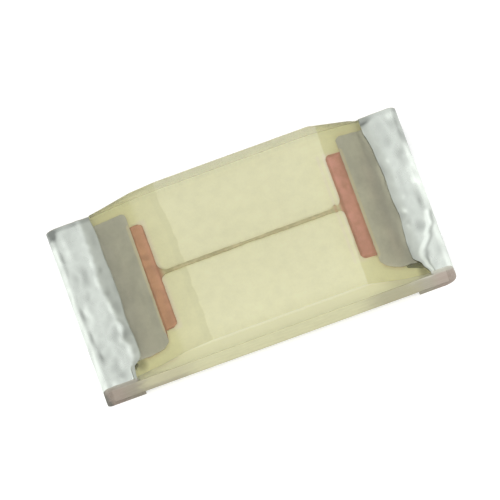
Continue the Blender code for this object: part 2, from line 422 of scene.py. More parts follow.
def finish_piece(shape, name, material, stands_for, sharp=35):
    mesh = bpy.data.meshes.new(name)
    shape.to_mesh(mesh)
    shape.free()
    mesh.shade_smooth()
    mesh.set_sharp_from_angle(angle=math.radians(sharp))
    mesh.materials.append(material)
    piece = bpy.data.objects.new(name, mesh)
    bpy.context.scene.collection.objects.link(piece)
    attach(piece, "root")
    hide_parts(*stands_for)
    mesh.calc_loop_triangles()
    print(name, len(mesh.loop_triangles), "triangles")
    return piece


def bell(value, width):
    """1 at 0, falling smoothly to nothing some widths away."""
    return math.exp(-(value / width) ** 2)


def creases(place, size):
    """Sharp crests and round valleys, from -1 to 1, about size apart."""
    return 1 - 2 * abs(noise.noise(place / size)) / 0.6


def between(knots, y):
    """The value of the knots (y, value) at y, with soft steps from one to the next."""
    if y <= knots[0][0]:
        return knots[0][1]
    for (y0, low), (y1, high) in zip(knots, knots[1:]):
        if y <= y1:
            t = (y - y0) / (y1 - y0)
            return low + (high - low) * t * t * (3 - 2 * t)
    return knots[-1][1]


# %% [markdown]
# ## Where the bands really end
# Plating doesn't stop on a ruled line. Each band's inner edge wanders a few hundredths of a millimetre, and
# at both front corners the saw tore it back by up to a tenth. A noise texture could only paint that. The
# same edge shapes the tin, the copper under it, the gray film and the resin that meet it, so it is one
# function of y, and every piece near a band is moved by it.

# %% Wandering edge
# Each knot is (y, the edge's shift from the plain solid's edge) in millimetres, front to back.
EDGE_SHIFTS = {
    LEFT: (
        (-0.80, -0.095), (-0.69, -0.084), (-0.65, -0.034), (-0.62, -0.004), (-0.58, 0.004),
        (-0.45, 0.002), (-0.30, -0.008), (-0.20, -0.010), (0.00, 0.004), (0.20, 0.002),
        (0.40, -0.006), (0.60, -0.004), (0.80, -0.016),
    ),
    RIGHT: (
        (-0.80, 0.084), (-0.70, 0.042), (-0.61, -0.020), (-0.50, -0.026), (-0.35, -0.014), (-0.20, 0.002),
        (0.00, -0.013), (0.20, -0.006), (0.45, -0.020), (0.70, -0.052), (0.80, -0.050),
    ),
}
EDGE_WANDER = 0.003 * MM
EDGE_WANDER_SIZE = 0.06
BAND_SOFT = 0.16 * MM


def band_edge(side, y):
    wander = noise.noise(Vector((side * 5.0, y / MM / EDGE_WANDER_SIZE, 0.3))) * EDGE_WANDER
    return BAND_EDGE[side] + between(EDGE_SHIFTS[side], y / MM) * MM + wander


def follow_edge(side, vert, above):
    """Moves a point that is higher than above along x, and less the further it lies from the edge."""
    away = abs(vert.co.x - BAND_EDGE[side])
    if vert.co.z < above or away > BAND_SOFT:
        return
    share = 1 - away / BAND_SOFT
    share = share * share * (3 - 2 * share)
    vert.co.x += (band_edge(side, vert.co.y) - BAND_EDGE[side]) * share


front_ends = [round(band_edge(side, -HALF_WIDTH) / MM, 3) for side in (LEFT, RIGHT)]
print("at the cut front the bands end at", front_ends)

# %% [markdown]
# ## Shared finishes
# Three things happen to more than one material here. The saw smears copper over the cut sides near both
# ends, and the same group paints shade over the smear at the left end, deepest in its lower corner, and a
# highlight along the top of the cut. The distance to a copper bar is needed by three finishes: the copper gets
# painted shade at its own edge, the laminate gets a painted glow just outside it, for the copper's light that
# the resin carries, and the film is lighter beside it. And a fine grain breaks up every colour a little. Nodes
# could be copied from material to material, but a shader group with its own sockets is built once, and a
# material only sets its values.
# `colour_surface` lays smear, with its painted shade and highlight, and grain over a material's own colour.

# %% Saw smear group
ROSY_END, ROSY_INWARD = (0.394, 0.330, 0.278), (0.370, 0.350, 0.270)
SMEAR_PALE, SMEAR_RIM_HIGHLIGHT = (0.570, 0.575, 0.495), (0.720, 0.745, 0.665)
SMEAR_STREAK = (0.47, 0.42, 0.36)
LEFT_SHADE = (0.200, 0.170, 0.130)
CORNER_SHADE_COLOUR = (0.150, 0.150, 0.125)
DRAG_LOW, DRAG_HIGH = (0.365, 0.342, 0.240), (0.475, 0.452, 0.298)
DRAG_RIGHT = (0.385, 0.366, 0.245)
DRAG_FROM, DRAG_TO = 1.01 * MM, 0.67 * MM
smear_and_light_group, entry, leave = new_group(
    "saw_smear_and_painted_light",
    [("Place", "Vector", None), ("Colour", "Color", (0.5, 0.5, 0.5, 1.0)), ("Reach", "Float", 0.4 * MM)],
    [("Colour", "Color")],
)
tree = smear_and_light_group
x, y, z = split(entry["Place"])
on_cut = ramp(inward(HALF_WIDTH, y), 0.006 * MM, 0.002 * MM)
from_end = inward(HALF_LENGTH, x)
wave = cloud(stretched(entry["Place"], 1.4, 1.0, 0.8), 0.09 * MM, 3.0)
reach = nudged(entry["Reach"], wave, 0.20 * MM)
near_end = ramp(minus(reach, from_end), -0.06 * MM, 0.10 * MM)
right_side = ramp(x, -MM, MM)
level = nudged(maths("ADD", z, -0.075 * MM), right_side, 0.030 * MM)
level = nudged(level, minus(wave, 0.5), 0.12 * MM)
streak = cloud(stretched(entry["Place"], 6.0, 1.0, 0.5), 0.03 * MM, 2.0)
# Painted shade in the lower corner of the left end's cut side.
corner = nudged(nudged(from_end, z, 0.10), wave, 0.04 * MM)
corner = ramp(corner, 0.085 * MM, 0.050 * MM, 0.0, 0.8)
# The coats by level lighten the cut towards its top, and the lightest, by the tin's top edge, is a painted rim
# highlight.
rosy = painted(
    ROSY_END,
    (ramp(from_end, 0.12 * MM, 0.26 * MM), ROSY_INWARD),
    (ramp(level, 0.19 * MM, 0.30 * MM), SMEAR_PALE),
    (ramp(level, 0.29 * MM, 0.36 * MM), SMEAR_RIM_HIGHLIGHT),
    (ramp(streak, 0.35, 0.75, 0.0, 0.35), SMEAR_STREAK),
    (ramp(right_side, 0.0, 1.0, 0.42, 0.0), LEFT_SHADE),
    (times(corner, ramp(x, 0.0, -0.1 * MM)), CORNER_SHADE_COLOUR),
)
drag = times(ramp(nudged(from_end, wave, 0.12 * MM), DRAG_FROM, DRAG_TO), on_cut)
dark = painted(DRAG_LOW, (ramp(z, 0.09 * MM, 0.16 * MM), DRAG_HIGH), (right_side, DRAG_RIGHT))
smeared = painted(entry["Colour"], (times(drag, 0.95), dark), (times(on_cut, near_end), rosy))
tree.links.new(smeared, leave["Colour"])
tell("saw smear:", tree)

# %% Distance to a bar group
BAR_INNER = {LEFT: -0.776 * MM, RIGHT: 0.839 * MM}
BAR_OUTER = {LEFT: -0.876 * MM, RIGHT: 0.992 * MM}
BAR_HALF_Y = 0.517 * MM
bar_group, entry, leave = new_group("bar_distance", [("Place", "Vector", None)], [("Distance", "Float")])
tree = bar_group
x, y, _ = split(entry["Place"])
along = minus(size_of(minus(y, PATTERN_Y)), BAR_HALF_Y)
distances = []
for side in (LEFT, RIGHT):
    middle = (BAR_INNER[side] + BAR_OUTER[side]) / 2
    half = abs(BAR_OUTER[side] - BAR_INNER[side]) / 2
    across = minus(size_of(minus(x, middle)), half)
    beyond = {"X": maths("MAXIMUM", across, 0.0), "Y": maths("MAXIMUM", along, 0.0)}
    outside = node(tree, "ShaderNodeCombineXYZ", beyond).outputs[0]
    outside = vector_maths("LENGTH", {0: outside})["Value"]
    inside = maths("MINIMUM", maths("MAXIMUM", across, along), 0.0)
    distances.append(maths("ADD", outside, inside))
tree.links.new(maths("MINIMUM", *distances), leave["Distance"])
tell("bar distance:", tree)


def bar_distance(place):
    return use_group(bar_group, Place=place)["Distance"]


# %% Grain group
PATCH_SHARE = 0.22
grain_group, entry, leave = new_group(
    "grain",
    [
        ("Place", "Vector", None), ("Colour", "Color", (0.5, 0.5, 0.5, 1.0)),
        ("Size", "Float", 0.05 * MM), ("Depth", "Float", 0.1),
    ],
    [("Colour", "Color"), ("Height", "Float")],
)
tree = grain_group
scale = maths("DIVIDE", 1.0, entry["Size"])
sockets = {"Vector": entry["Place"], "Scale": scale, "Detail": 3.0, "Roughness": 0.6}
speck = node(tree, "ShaderNodeTexNoise", sockets).outputs["Fac"]
sockets = {"Vector": entry["Place"], "Scale": times(scale, PATCH_SHARE), "Detail": 1.0}
patch = node(tree, "ShaderNodeTexNoise", sockets).outputs["Fac"]
both = maths("ADD", times(speck, 0.5), times(patch, 0.5))
swing = times(minus(both, 0.5), entry["Depth"])
gain = maths("MULTIPLY_ADD", swing, 2.0, 1.0)
tree.links.new(scaled(entry["Colour"], gain), leave["Colour"])
tree.links.new(speck, leave["Height"])
tell("grain:", tree)

# %% Smear and grain over a colour
print("groups:", [g.name for g in bpy.data.node_groups])


def colour_surface(shader, place, face, grain_size, grain_depth, reach=0.0):
    """Gives the shader its colour, with saw smear and its painted shade and highlight if reach is given, and
    returns the grain's height.
    """
    if reach:
        face = use_group(smear_and_light_group, Place=place, Colour=face, Reach=reach)["Colour"]
    grained = use_group(grain_group, Place=place, Colour=face, Size=grain_size, Depth=grain_depth)
    fill(shader, {"Base Color": grained["Colour"]})
    return grained["Height"]


# %% [markdown]
# ## The laminate
# The chip itself is glass cloth in epoxy, sawn from a panel. Its top is only seen through the resin, pale
# and a little milky, with the weave just showing. Its cut sides show the plies edge on. The yarns could be
# modelled, but they are finer than the camera sees, so a cube with its lower edges broken and its cut sides
# roughened is enough shape, and the plies and the weave are in the finish.

# %% Laminate finish
LAMINATE_TOP_COLOUR = (0.985, 0.978, 0.730)
WEAVE_COLOUR = (0.975, 0.965, 0.705)
PAINTED_GLOW_COLOUR = (0.995, 0.955, 0.800)
LAMINATE_SIDE_COLOUR = (0.581, 0.568, 0.361)
PLY_COLOUR = (0.548, 0.536, 0.339)
YARN = 0.085 * MM
PLY = 0.0625 * MM
# Painted shade on the laminate's top at the foot of each tin's torn front edge.
PAINTED_SHADE_SPOTS = ((-1.195 * MM, -0.690 * MM, laminate_high.z), (1.345 * MM, -0.745 * MM, laminate_high.z))
SPOT_SHADE_COLOUR = (0.420, 0.400, 0.240)
laminate_finish, tree, shader, place = new_material("laminate")
x, y, z = split(place)
warp = maths("SINE", times(x, math.pi / YARN))
weft = maths("SINE", times(y, math.pi / YARN))
blur = cloud(place, 0.30 * MM)
weave = times(times(warp, weft), ramp(blur, 0.35, 0.65))
weave = ramp(weave, -1.0, 1.0, 0.0, 0.3)
top_colour = mix(weave, LAMINATE_TOP_COLOUR, WEAVE_COLOUR)
# Painted light: a glow on the laminate beside the bars' inner sides, for the copper's light carried in the
# resin.
painted_glow = ramp(bar_distance(place), 0.045 * MM, 0.008 * MM)
for side in (LEFT, RIGHT):
    painted_glow = times(painted_glow, ramp(x, BAR_OUTER[side], BAR_INNER[side]))
top_colour = mix(painted_glow, top_colour, PAINTED_GLOW_COLOUR)
for spot in PAINTED_SHADE_SPOTS:
    away = vector_maths("DISTANCE", {0: place, 1: spot})["Value"]
    spot_shade = ramp(nudged(away, blur, 0.03 * MM), 0.090 * MM, 0.030 * MM, 0.0, 0.7)
    top_colour = mix(spot_shade, top_colour, SPOT_SHADE_COLOUR)
plies = maths("SINE", times(z, 2 * math.pi / PLY))
bundles = cloud(stretched(place, 3.0, 1.0, 0.6), 0.035 * MM, 3.0)
side_tone = nudged(bundles, plies, 0.12)
side_colour = mix(ramp(side_tone, 0.25, 0.75), LAMINATE_SIDE_COLOUR, PLY_COLOUR)
under_resin = ramp(z, laminate_high.z - 0.004 * MM, laminate_high.z - 0.001 * MM)
under_resin = times(under_resin, ramp(inward(HALF_WIDTH, y), 0.002 * MM, 0.005 * MM))
face = mix(under_resin, side_colour, top_colour)
colour_surface(shader, place, face, 0.02 * MM, 0.10, 0.26 * MM)
fill(shader, {"Roughness": ramp(bundles, 0.3, 0.7, 0.45, 0.65), "Specular IOR Level": 0.1})
bump(shader, side_tone, 0.0015 * MM, 0.6)
tell("laminate finish:", tree)

# %% Laminate
LAMINATE_EDGE = 0.004 * MM
LONG_CUTS, PLY_CUTS = 120, 10
SAW_CHATTER = 0.0012 * MM
laminate = bmesh.new()
bmesh.ops.create_cube(laminate, size=1)
laminate_size = laminate_high - laminate_low
bmesh.ops.scale(laminate, vec=laminate_size, verts=laminate.verts)
bmesh.ops.translate(laminate, vec=(laminate_high + laminate_low) / 2, verts=laminate.verts)
lower_edges = [e for e in laminate.edges if all(v.co.z < 0.1 * MM for v in e.verts)]
bmesh.ops.bevel(
    laminate, geom=lower_edges, offset=LAMINATE_EDGE, segments=2, profile=0.5, affect="EDGES", material=-1
)
long_edges = [e for e in laminate.edges if e.calc_length() > 2 * MM]
bmesh.ops.subdivide_edges(laminate, edges=long_edges, cuts=LONG_CUTS, use_grid_fill=True)
side_edges = [
    e for e in laminate.edges
    if e.calc_length() > 0.1 * MM and abs(e.verts[0].co.z - e.verts[1].co.z) > 0.1 * MM
]
bmesh.ops.subdivide_edges(laminate, edges=side_edges, cuts=PLY_CUTS, use_grid_fill=True)
for vert in laminate.verts:
    if abs(vert.co.y) > HALF_WIDTH - LAMINATE_EDGE / 2:
        rough = noise.noise(vert.co / (0.05 * MM))
        vert.co.y -= math.copysign(abs(rough) * SAW_CHATTER, vert.co.y)
    if vert.co.z < laminate_low.z + LAMINATE_EDGE / 2:
        vert.co.z += abs(noise.noise(vert.co / (0.08 * MM))) * SAW_CHATTER
bmesh.ops.recalc_face_normals(laminate, faces=laminate.faces)
finish_piece(laminate, "glass_laminate", laminate_finish, ["laminate_base"])

# %% [markdown]
# ## The copper element
# One piece of foil: a pad at each end with a bar on its inner side, and the fine link that melts. It was
# etched, so its corners are round and the link's two edges waver by a few thousandths of a millimetre. A
# curve with a thickness could make the link alone, but the real thing is one sheet. So its outline is walked
# round with arcs at its corners, filled as one face, and extruded up by the foil's thickness.

# %% Copper finish
COPPER_COLOUR = {LEFT: (0.680, 0.368, 0.256), RIGHT: (0.760, 0.376, 0.348)}
TARNISH_COLOUR = (0.600, 0.350, 0.250)
COPPER_EDGE_SHADE_COLOUR = (0.480, 0.235, 0.150)
EDGE_SHADE_WIDTH = {LEFT: 0.012 * MM, RIGHT: 0.034 * MM}
LINK_COLOUR = (0.535, 0.490, 0.300)
LINK_PALE_COLOUR = (0.620, 0.555, 0.355)
BARE_FOIL_SHADE_COLOUR = (0.225, 0.230, 0.140)
copper_finish, tree, shader, place = new_material("etched_copper")
x, y, _ = split(place)
tarnish = cloud(place, 0.07 * MM, 3.0)
face = mix(by_side(x), COPPER_COLOUR[LEFT], COPPER_COLOUR[RIGHT])
# Painted shade along the edges of the bars, wider on the right bar and weaker towards its outer side.
edge_shade_width = by_side(x, -EDGE_SHADE_WIDTH[LEFT], -EDGE_SHADE_WIDTH[RIGHT])
edge_shade = ramp(maths("DIVIDE", bar_distance(place), edge_shade_width), 1.0, 0.25, 0.0, 0.8)
inner_part = ramp(x, BAR_OUTER[RIGHT], BAR_INNER[RIGHT], 0.4, 1.0)
on_link = times(
    ramp(x, BAR_INNER[LEFT] - 0.005 * MM, BAR_INNER[LEFT] + 0.040 * MM),
    ramp(x, BAR_INNER[RIGHT] + 0.005 * MM, BAR_INNER[RIGHT] - 0.040 * MM),
)
link_tone = ramp(cloud(place, 0.05 * MM, 2.0), 0.4, 0.65)
# Past the pads at the front corners the bare foil is painted dark, as the shade under the tin's torn edge.
shaded_foil = maths("MAXIMUM", ramp(x, -1.14 * MM, -1.18 * MM), ramp(x, 1.17 * MM, 1.20 * MM))
shaded_foil = times(shaded_foil, ramp(y, -0.40 * MM, -0.50 * MM))
face = painted(
    face,
    (ramp(tarnish, 0.35, 0.70, 0.0, 0.35), TARNISH_COLOUR),
    (times(edge_shade, inner_part), COPPER_EDGE_SHADE_COLOUR),
    (on_link, mix(link_tone, LINK_COLOUR, LINK_PALE_COLOUR)),
    (shaded_foil, BARE_FOIL_SHADE_COLOUR),
)
height = colour_surface(shader, place, face, 0.014 * MM, 0.12, 0.5 * MM)
fill(shader, {"Metallic": 1.0, "Roughness": ramp(tarnish, 0.3, 0.7, 0.42, 0.6)})
bump(shader, height, 0.001 * MM, 0.5)
tell("copper finish:", tree)

# %% Element outline
LINK_HALF = 0.016 * MM
LINK_WAVER = 0.0030 * MM
LINK_FILLET = {"lower": 0.055 * MM, "upper": 0.085 * MM}
LINK_THIN_AT = 0.02 * MM
LINK_THIN_RUN = 0.14 * MM
LINK_THINNING = 0.006 * MM
BAR_CORNER = 0.050 * MM
OUTLINE_STEP = 0.012 * MM
PAD_BACK = 0.700 * MM
PAD_BACK_CORNER = 0.050 * MM
PAD_FRONT = {
    LEFT: ((-0.590, 0.016, 0.030), (-0.630, 0.074, 0.040), (-0.642, 0.150, 0.040), (-0.654, 0.224, 0.020)),
    RIGHT: ((-0.555, 0.002, 0.030), (-0.603, 0.045, 0.040), (-0.635, 0.110, 0.040), (-0.658, 0.180, 0.020)),
}
# At each torn front corner a tab of bare foil reaches out, shaped as the shadow under the tin's torn edge and
# painted dark in the copper finish.
FOIL_SHADOW_TAB = {LEFT: -1.225 * MM, RIGHT: 1.215 * MM}
TAB_FROM = {LEFT: -0.745 * MM, RIGHT: -0.722 * MM}
TAB_TIP, TAB_TO = -0.676 * MM, -0.650 * MM
UNDER_TIN, UNDER_BACK = 0.012 * MM, 0.040 * MM
FOIL_END = foil_high.x


def pad_front(side, inset):
    """Corners of (x, y, radius) along a pad's torn front edge, from the bar out to the band."""
    return [
        (BAR_OUTER[side] + side * max(out * MM, 0), y * MM + inset, radius * MM)
        for y, out, radius in PAD_FRONT[side]
    ]


def element_side(side):
    """Corners of (x, y, radius) from the link's lower edge round one end to the link's upper edge."""
    link_low, link_high = PATTERN_Y - LINK_HALF, PATTERN_Y + LINK_HALF
    torn_x = band_edge(side, TAB_FROM[side]) + side * UNDER_TIN
    cut_x = band_edge(side, -HALF_WIDTH) + side * UNDER_TIN
    front = pad_front(side, LAYER_GAP)
    return [
        (BAR_INNER[side], link_low, LINK_FILLET["lower"]),
        (BAR_INNER[side], PATTERN_Y - BAR_HALF_Y, BAR_CORNER),
        (BAR_OUTER[side], PATTERN_Y - BAR_HALF_Y, 0),
        *front,
        (BAND_EDGE[side] - side * LAYER_GAP, front[-1][1], 0),
        (FOIL_SHADOW_TAB[side], TAB_TO - 0.012 * MM, 0),
        (FOIL_SHADOW_TAB[side], TAB_TIP, 0.008 * MM),
        (torn_x, TAB_FROM[side], 0.004 * MM),
        (cut_x, -HALF_WIDTH, 0),
        (side * FOIL_END, -HALF_WIDTH, 0),
        (side * FOIL_END, HALF_WIDTH, 0),
        (BAND_EDGE[side] + side * UNDER_BACK, HALF_WIDTH, 0),
        (BAND_EDGE[side] + side * UNDER_BACK, PAD_BACK, 0),
        (BAR_OUTER[side], PAD_BACK, PAD_BACK_CORNER),
        (BAR_OUTER[side], PATTERN_Y + BAR_HALF_Y, 0),
        (BAR_INNER[side], PATTERN_Y + BAR_HALF_Y, BAR_CORNER),
        (BAR_INNER[side], link_high, LINK_FILLET["upper"]),
    ]


print("each side of the element has", len(element_side(LEFT)), "corners")

# %% Element
outline = []
for x, y, _ in section(element_side(RIGHT) + element_side(LEFT)[::-1], OUTLINE_STEP, 0):
    if BAR_INNER[LEFT] < x < BAR_INNER[RIGHT] and abs(y - PATTERN_Y) < 2 * LINK_HALF:
        above = math.copysign(1, y - PATTERN_Y)
        y += noise.noise(Vector((x / (0.035 * MM), 3.0 * above, 0.7))) * LINK_WAVER
        y -= above * LINK_THINNING * bell(x - LINK_THIN_AT, LINK_THIN_RUN)
    elif abs(y) < HALF_WIDTH - 0.01 * MM:
        x += noise.noise(Vector((x / (0.05 * MM), y / (0.05 * MM), 1.9))) * LINK_WAVER / 2
    outline.append((x, y))
element = plate(outline, laminate_high.z + SEAM, foil_high.z, 0.003 * MM)
finish_piece(element, "etched_element", copper_finish, ["fuse_element"])

# %% [markdown]
# ## The gray pads
# A thin film of plating covers each pad between the band and the bar. It is satin gray, a little lighter
# towards the bar, with torn corners. Painting it on the copper would do for one view, but it is a layer with
# an edge, so it is a plate like the element. Its outline follows the wandering edge of the band and all but
# touches it, because a strip of bare foil there would show as a dark line.

# %% Film finish
FILM_COLOUR = {LEFT: (0.570, 0.570, 0.615), RIGHT: (0.630, 0.630, 0.675)}
MOTTLE_COLOUR = (0.540, 0.545, 0.575)
FILM_BY_BAR_COLOUR = (0.720, 0.670, 0.600)
film_finish, tree, shader, place = new_material("plated_film")
x, _, _ = split(place)
mottle = cloud(stretched(place, 1.0, 1.8, 1.0), 0.10 * MM, 3.0)
face = mix(by_side(x), FILM_COLOUR[LEFT], FILM_COLOUR[RIGHT])
face = painted(
    face,
    (ramp(mottle, 0.3, 0.7, 0.0, 0.5), MOTTLE_COLOUR),
    (ramp(bar_distance(place), 0.040 * MM, 0.022 * MM, 0.0, 0.85), FILM_BY_BAR_COLOUR),
)
height = colour_surface(shader, place, face, 0.030 * MM, 0.16)
fill(shader, {"Metallic": 1.0, "Roughness": ramp(mottle, 0.3, 0.7, 0.40, 0.55)})
bump(shader, height, 0.0008 * MM, 0.5)
tell("film finish:", tree)

# %% Films
FILM_EDGE = 0.0015 * MM


def make_film(side):
    front = pad_front(side, 0)
    corners = [
        (BAND_EDGE[side], front[-1][1], 0),
        *front[::-1],
        (BAR_OUTER[side], PAD_BACK, PAD_BACK_CORNER),
        (BAND_EDGE[side], PAD_BACK, 0),
    ]
    outline = []
    for x, y, _ in section(corners, OUTLINE_STEP, 0):
        limit = band_edge(side, max(y, TAB_TO)) - side * SEAM
        if side * (x - BAND_EDGE[side]) > -0.001 * MM or side * (x - limit) > 0:
            x = limit
        else:
            x += noise.noise(Vector((x / (0.04 * MM), y / (0.04 * MM), 4.1))) * LINK_WAVER
            y += noise.noise(Vector((x / (0.04 * MM), y / (0.04 * MM), 7.7))) * LINK_WAVER
        if not outline or (Vector((x, y)) - Vector(outline[-1])).length > FILM_EDGE:
            outline.append((x, y))
    name = SIDE_NAMES[side]
    shape = plate(outline, foil_high.z + SEAM, film_high.z, FILM_EDGE)
    finish_piece(shape, "gray_film_" + name, film_finish, ["pad_plating_" + name])


for side in (LEFT, RIGHT):
    make_film(side)

# %% [markdown]
# ## The caps' copper
# Under the tin, copper wraps each end in a C: a strip on top, a wall at the end and a thicker land below.
# Only its cut sides show. Three bevelled boxes could stand for it, but one section swept across the chip
# keeps the corners whole, and the tin over it is made in the same way.

# %% Cap copper finish
DULL_COPPER, WARM_COPPER = (0.230, 0.200, 0.110), (0.300, 0.240, 0.150)
cap_copper_finish, tree, shader, place = new_material("cap_copper")
tarnish = cloud(place, 0.05 * MM, 3.0)
face = mix(ramp(tarnish, 0.3, 0.7), DULL_COPPER, WARM_COPPER)
height = colour_surface(shader, place, face, 0.012 * MM, 0.2, 0.6 * MM)
fill(shader, {"Metallic": 0.8, "Roughness": ramp(tarnish, 0.3, 0.7, 0.45, 0.65)})
bump(shader, height, 0.001 * MM, 0.6)
tell("cap copper finish:", tree)

# %% Cap copper
SWEEP_STEPS = 120
SECTION_STEP = 0.012 * MM
COPPER_TOP = copper_high.z
COPPER_WALLS = (
    COPPER_TOP - foil_high.z - SEAM,
    HALF_LENGTH - COPPER_INSET - laminate_high.x - SEAM,
    laminate_low.z - copper_low.z - SEAM,
)
COPPER_LAND_RADIUS = {LEFT: 0.020 * MM, RIGHT: 0.080 * MM}
COPPER_TOP_RADIUS = 0.030 * MM
LAND_INNER = HALF_LENGTH - 0.350 * MM


def wrap_corners(side, inset, walls, levels, outer_radii, inner_radii, tip_radius):
    """The C-shaped section round one end, as in the plain solids. Top first, then the land."""
    top_wall, end_wall, land_wall = walls
    top, land = levels
    end = side * (HALF_LENGTH - inset)
    wall = side * (HALF_LENGTH - inset - end_wall)
    return [
        (BAND_EDGE[side], top, tip_radius),
        (end, top, outer_radii[0]),
        (end, land, outer_radii[1]),
        (side * LAND_INNER, land, 0.004 * MM),
        (side * LAND_INNER, land + land_wall, 0),
        (wall, land + land_wall, inner_radii[1]),
        (wall, top - top_wall, inner_radii[0]),
        (BAND_EDGE[side], top - top_wall, 0),
    ]


def make_cap_copper(side):
    radii = (COPPER_TOP_RADIUS, COPPER_LAND_RADIUS[side])
    corners = wrap_corners(
        side, COPPER_INSET, COPPER_WALLS, (COPPER_TOP, copper_low.z), radii, (0, 0), 0.003 * MM
    )
    shape, _ = sweep(section(corners, SECTION_STEP, 4), -HALF_WIDTH, HALF_WIDTH, SWEEP_STEPS)
    for vert in shape.verts:
        follow_edge(side, vert, laminate_high.z)
    name = SIDE_NAMES[side]
    finish_piece(shape, "cap_copper_" + name, cap_copper_finish, ["end_copper_" + name])


for side in (LEFT, RIGHT):
    make_cap_copper(side)

# %% [markdown]
# ## The tin
# The tin is what the eye goes to: bright, soft and crumpled, like foil pressed round the end. It could be
# sculpted, or left to a bump texture, but a bump has no outline and the sculpting can't be run again. So its
# section is swept in fine steps, and then every point of its outer side is raised or lowered by a few
# thousandths of a millimetre. A low swell and faint creases run all over it. On top of those come the dents
# that give each cap its own face, a crease where the top turns down over the end, and a crest where the
# thick plating stops and a thinner strip runs on to the resin. On the right-hand cap the front corner is
# folded over. Light and shade are painted into the finish through an attribute: crests, the plating's crest,
# the fold and the rounded ends are painted lighter, and hollows, the crease, the back edge and the right
# cap's inner edge darker.

# %% Dents in the tin
# Each dent is (x, y, half width, half length) in millimetres and its height in thousandths of a millimetre.
# A raised dent is also painted lighter, and a sunk one darker.
DENTS = {
    LEFT: (
        (-1.480, 0.62, 0.022, 0.10, 5), (-1.480, 0.50, 0.030, 0.06, 4), (-1.325, 0.55, 0.025, 0.035, 3),
        (-1.320, 0.37, 0.015, 0.035, 5), (-1.325, 0.19, 0.020, 0.07, 5), (-1.485, -0.05, 0.022, 0.10, 8),
        (-1.485, -0.17, 0.030, 0.05, 3), (-1.295, -0.06, 0.015, 0.07, 4), (-1.275, -0.30, 0.020, 0.045, 5),
        (-1.315, -0.40, 0.022, 0.04, 4), (-1.265, -0.53, 0.020, 0.05, 4), (-1.400, -0.44, 0.030, 0.05, 3),
        (-1.390, -0.50, 0.030, 0.04, 3), (-1.475, -0.79, 0.025, 0.03, 5), (-1.205, -0.605, 0.020, 0.04, 3),
        (-1.300, -0.79, 0.030, 0.02, 5), (-1.430, 0.69, 0.060, 0.09, -3), (-1.270, 0.03, 0.030, 0.050, -3),
        (-1.250, -0.37, 0.035, 0.05, -5), (-1.510, -0.47, 0.020, 0.06, -5), (-1.530, -0.30, 0.020, 0.06, -5),
        (-1.540, -0.05, 0.020, 0.08, -3), (-1.540, 0.50, 0.020, 0.12, -4), (-1.420, 0.25, 0.025, 0.07, -1),
        (-1.400, -0.71, 0.060, 0.04, -4), (-1.260, 0.28, 0.020, 0.03, -5), (-1.566, 0.735, 0.042, 0.050, -14),
        (-1.505, -0.30, 0.018, 0.10, 4), (-1.370, -0.62, 0.030, 0.05, 3), (-1.440, 0.05, 0.020, 0.08, -3),
    ),
    RIGHT: (
        (1.300, 0.66, 0.020, 0.040, 12), (1.520, 0.73, 0.030, 0.05, 7), (1.390, 0.33, 0.015, 0.035, 4),
        (1.410, -0.04, 0.018, 0.035, 4), (1.370, -0.165, 0.020, 0.035, 8), (1.365, -0.31, 0.016, 0.03, 7),
        (1.530, 0.16, 0.020, 0.10, 5), (1.533, 0.08, 0.016, 0.03, 8), (1.330, -0.42, 0.020, 0.05, 2),
        (1.350, 0.765, 0.045, 0.03, -10), (1.290, -0.55, 0.040, 0.07, -5), (1.560, 0.60, 0.025, 0.13, -4),
        (1.500, 0.36, 0.030, 0.06, -4), (1.520, -0.14, 0.020, 0.05, -4), (1.440, 0.10, 0.025, 0.08, -2),
    ),
}
print("dents:", len(DENTS[LEFT]), "on the left,", len(DENTS[RIGHT]), "on the right")

# %% Lines along the tin
# Each is a row of (y, distance from the chip's end), but the fold's is (y, x), all in millimetres.
CREASE = (
    (-0.80, 0.080), (-0.65, 0.080), (-0.47, 0.090), (-0.35, 0.070), (-0.25, 0.065), (-0.05, 0.055),
    (0.10, 0.050), (0.25, 0.055), (0.40, 0.070), (0.50, 0.065), (0.60, 0.055), (0.80, 0.060),
)
THICK_ENDS = {
    LEFT: (
        (-0.70, 0.330), (-0.60, 0.350), (-0.50, 0.360), (-0.40, 0.320), (-0.30, 0.365), (-0.20, 0.330),
        (-0.10, 0.325), (0.00, 0.305), (0.10, 0.295), (0.20, 0.290), (0.36, 0.310), (0.80, 0.310),
    ),
    RIGHT: ((-0.80, 0.170), (-0.55, 0.205), (0.00, 0.218), (0.30, 0.212), (0.80, 0.225)),
}
THICK_END_SOFT = {LEFT: 0.008, RIGHT: 0.016}
FOLD = ((-0.70, 1.360), (-0.60, 1.392), (-0.45, 1.476), (-0.34, 1.528), (-0.20, 1.545))
SIDE_GAIN = {LEFT: 1.0, RIGHT: 1.04}
CREST = {LEFT: 3.0, RIGHT: 1.0}
BACK_SHADE = {LEFT: 6.0, RIGHT: 3.0}
THIN_SHARE = {LEFT: 1.0, RIGHT: 0.8}
THIN_DROP = 5.0
CREASE_DEPTH = 2.4
TOP_FROM = 0.29
SWELL, SWELL_SIZE = 2.2, 0.16
CRUMPLE, CRUMPLE_SIZE = 1.2, 0.085
# How dark the painted shade and how light the painted highlight on the tin may go, and how much each unit of
# tone changes it.
DARKEST, LIGHTEST = 0.35, 1.40
PER_RISE, PER_FALL = 0.035, 0.048
# The painted highlight on the tin's rounded ends.
END_HIGHLIGHT = 0.36
print("the crease lies", CREASE[0][1], "to", CREASE[-1][1], "mm from the left end")


def step(value, start, end):
    """0 before start, 1 after end, and smooth between them."""
    t = min(1.0, max(0.0, (value - start) / (end - start)))
    return t * t * (3 - 2 * t)


def dents_at(side, x, y):
    wobble = Vector((x / 0.08, y / 0.08, side * 3.0))
    x += 0.010 * noise.noise(wobble)
    y += 0.030 * noise.noise(wobble + Vector((0, 0, 5.0)))
    total = 0.0
    for at_x, at_y, half_x, half_y, rise in DENTS[side]:
        away = ((x - at_x) / half_x) ** 2 + ((y - at_y) / half_y) ** 2
        total += rise * math.exp(-away)
    return total


